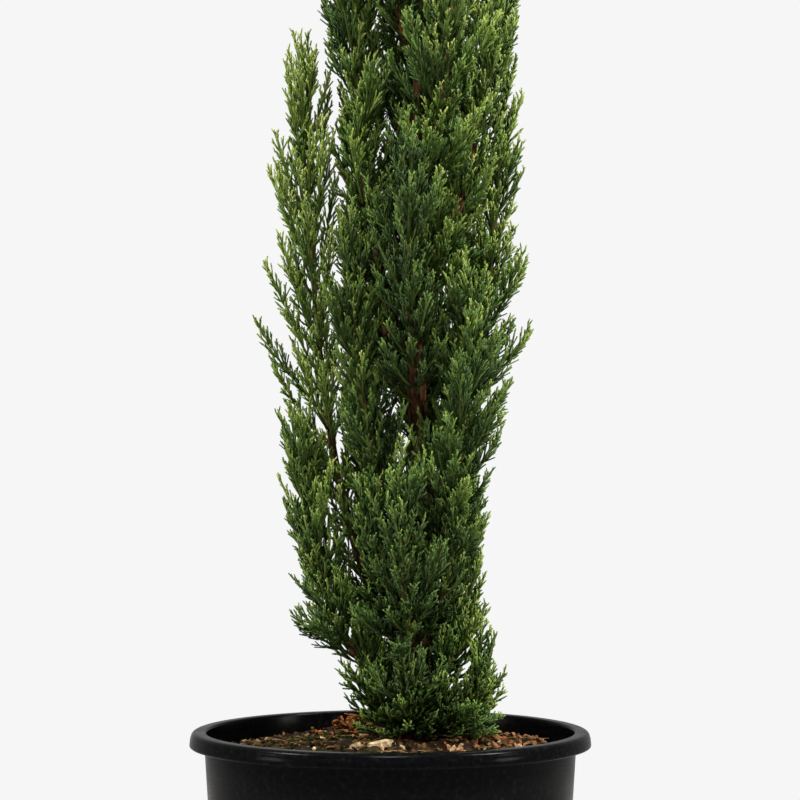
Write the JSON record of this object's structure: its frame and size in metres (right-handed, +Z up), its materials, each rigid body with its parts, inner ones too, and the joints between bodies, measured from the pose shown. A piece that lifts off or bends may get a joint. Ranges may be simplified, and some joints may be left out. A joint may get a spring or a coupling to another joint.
{
  "type": "potted italian cypress",
  "caption": "Columnar evergreen tree of dense, upright scale-leaved plumes on one slim trunk, standing in a round black nursery pot filled with bark potting mix.",
  "frame": {"origin": "middle of the pot's flat underside", "axes": "+Z up along the trunk, -Y towards the side that the picture shows, +X to the right seen from there"},
  "size_m": [0.3, 0.3, 1.4017],
  "materials": {
    "pot_plastic": "satin black moulded plastic, dusty",
    "bark_mix": "loose dark composted bark with tan chips",
    "bark": "rough, stringy red-brown bark",
    "foliage": "scale leaves, slightly waxy, deep green with lighter tips"
  },
  "bodies": {
    "root": {"pot": "pot_plastic", "potting_mix": "bark_mix", "trunk": "bark", "bough_left_low": "bark", "bough_front_low": "bark", "bough_right_low": "bark", "bough_back_low": "bark", "bough_left_leader": "bark", "bough_back_left_low": "bark", "bough_right_front": "bark", "bough_left_front": "bark", "bough_right_leader": "bark", "bough_back_right": "bark", "bough_front_middle": "bark", "bough_back_left": "bark", "bough_left_column": "bark", "bough_right_column": "bark", "bough_back_column": "bark", "bough_spire_1": "bark", "bough_spire_2": "bark", "bough_spire_3": "bark", "bough_spire_4": "bark", "bough_spire_5": "bark", "bough_spire_6": "bark", "bough_spire_7": "bark", "bough_spire_8": "bark", "bough_spire_9": "bark", "foliage_left_low": "foliage", "foliage_front_low": "foliage", "foliage_right_low": "foliage", "foliage_back_low": "foliage", "foliage_left_leader": "foliage", "foliage_back_left_low": "foliage", "foliage_right_front": "foliage", "foliage_left_front": "foliage", "foliage_right_leader": "foliage", "foliage_back_right": "foliage", "foliage_front_middle": "foliage", "foliage_back_left": "foliage", "foliage_left_column": "foliage", "foliage_right_column": "foliage", "foliage_back_column": "foliage", "foliage_spire_1": "foliage", "foliage_spire_2": "foliage", "foliage_spire_3": "foliage", "foliage_spire_4": "foliage", "foliage_spire_5": "foliage", "foliage_spire_6": "foliage", "foliage_spire_7": "foliage", "foliage_spire_8": "foliage", "foliage_spire_9": "foliage", "foliage_bottom_left": "foliage", "foliage_bottom_front": "foliage", "foliage_bottom_right": "foliage", "foliage_bottom_back": "foliage", "foliage_left_inner": "foliage", "foliage_right_inner": "foliage", "foliage_front_heart": "foliage", "foliage_back_heart": "foliage", "foliage_leader": "foliage"}
  },
  "joints": []
}
